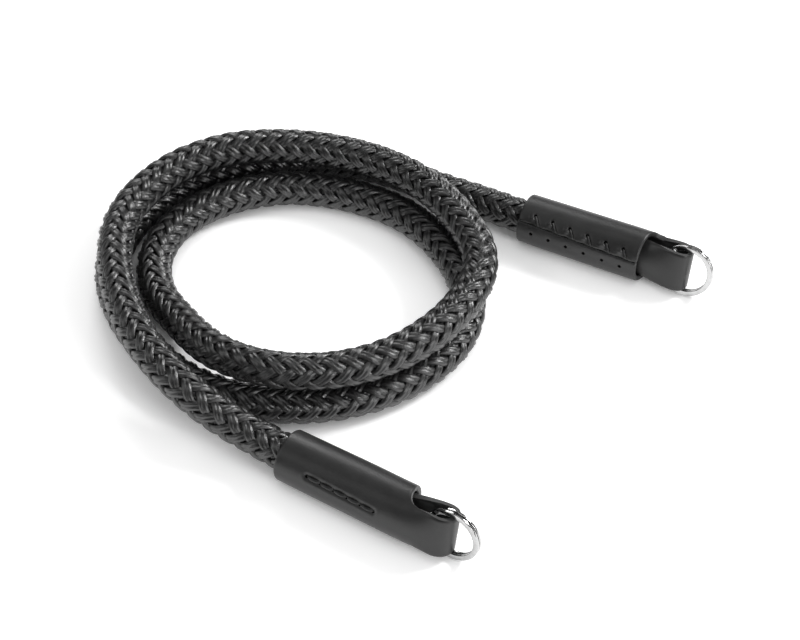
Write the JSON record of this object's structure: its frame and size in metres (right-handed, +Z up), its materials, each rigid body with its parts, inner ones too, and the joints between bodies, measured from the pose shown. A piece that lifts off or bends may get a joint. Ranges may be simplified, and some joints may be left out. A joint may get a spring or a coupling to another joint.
{
  "type": "camera strap",
  "caption": "Neck strap of thick round braided rope, loosely coiled, with a folded leather end and a split ring at each end.",
  "frame": {"origin": "on the surface that the strap lies on, in the middle of the flat strip that the near leather end rests on, 8.5 mm from its rope mouth", "axes": "+Z up from the surface; +X the way that the near leather end points, to its split ring; +Y to its left, towards the coil and the far end"},
  "size_m": [0.1853, 0.1495, 0.0243],
  "materials": {
    "rope": "glossy black braid",
    "leather": "smooth black, satin",
    "split_ring": "polished steel"
  },
  "bodies": {
    "root": {"rope": "rope", "far_leather_end": "leather", "near_leather_end": "leather", "far_split_ring": "split_ring", "near_split_ring": "split_ring"}
  },
  "joints": []
}
